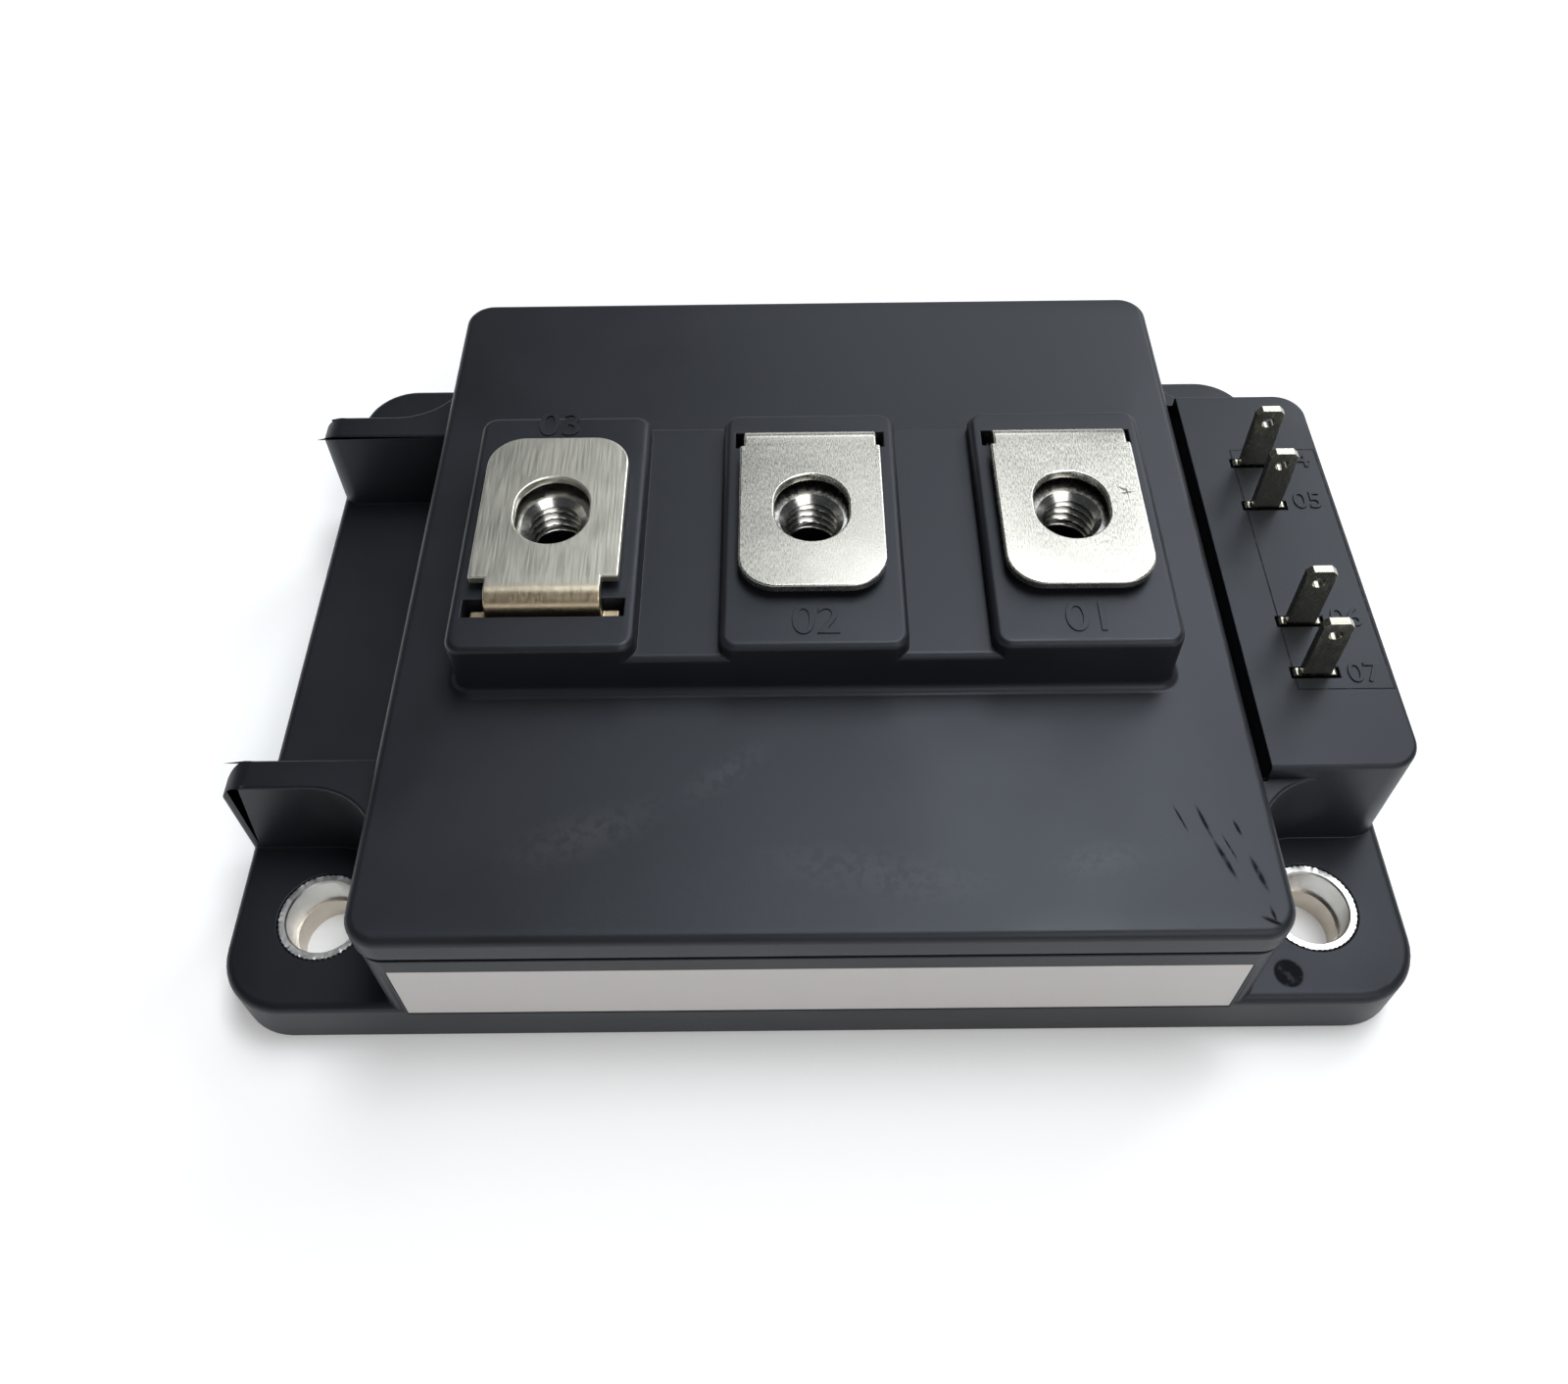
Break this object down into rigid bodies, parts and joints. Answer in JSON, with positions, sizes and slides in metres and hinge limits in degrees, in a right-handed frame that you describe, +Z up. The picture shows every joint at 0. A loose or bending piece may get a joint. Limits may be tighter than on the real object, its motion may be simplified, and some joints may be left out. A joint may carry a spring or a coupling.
{
  "type": "igbt power module",
  "caption": "Rectangular transistor power module: flat metal base, black moulded case with bushed corner ears, raised block with screw straps over captive nuts, and a ledge with signal tabs.",
  "frame": {"origin": "centre of the base plate's underside, where the module meets its heat sink", "axes": "+X along the row of main terminals towards the signal ledge, +Y from the labelled front face to the rear, +Z up out of the base"},
  "size_m": [0.11, 0.08, 0.029],
  "materials": {
    "nickel_plate": "nickel-plated copper, matt",
    "case_plastic": "moulded black plastic with a fine spark-eroded texture",
    "lid_plastic": "moulded black plastic with a fine spark-eroded texture, lightly scuffed",
    "label_film": "blank grey label film, matt",
    "bush_steel": "zinc-plated steel, knurled outside",
    "terminal_nickel": "nickel-plated copper, satin",
    "terminal_nickel_warm": "nickel-plated copper, brushed, plating worn warm at the bend",
    "nut_steel": "bright plated steel",
    "pin_nickel": "tin-plated, dulled",
    "solder": "grey solder",
    "copper": "bare copper",
    "ceramic": "fired ceramic, unglazed",
    "silicon": "metallised silicon die",
    "bond_wire": "drawn aluminium wire",
    "lead_insulation": "insulated wire, red",
    "gel": "clear soft silicone gel"
  },
  "bodies": {
    "root": {"base_plate": "nickel_plate", "case": "case_plastic", "lid": "lid_plastic", "label": "label_film", "bush_front_left": "bush_steel", "bush_front_right": "bush_steel", "bush_rear_left": "bush_steel", "bush_rear_right": "bush_steel", "terminal_left": "terminal_nickel_warm", "terminal_middle": "terminal_nickel", "terminal_right": "terminal_nickel", "nut_left": "nut_steel", "nut_middle": "nut_steel", "nut_right": "nut_steel", "signal_pin_1": "pin_nickel", "signal_pin_2": "pin_nickel", "signal_pin_3": "pin_nickel", "signal_pin_4": "pin_nickel", "solder_left": "solder", "solder_right": "solder", "back_foil_left": "copper", "back_foil_right": "copper", "ceramic_left": "ceramic", "ceramic_right": "ceramic", "tracks_left": "copper", "tracks_right": "copper", "igbt_die_1": "silicon", "igbt_die_2": "silicon", "igbt_die_3": "silicon", "igbt_die_4": "silicon", "diode_die_1": "silicon", "diode_die_2": "silicon", "diode_die_3": "silicon", "diode_die_4": "silicon", "bond_wires_left": "bond_wire", "bond_wires_right": "bond_wire", "phase_link": "copper", "gate_lead_1": "lead_insulation", "gate_lead_2": "lead_insulation", "gate_lead_3": "lead_insulation", "gate_lead_4": "lead_insulation", "gel": "gel"}
  },
  "joints": []
}
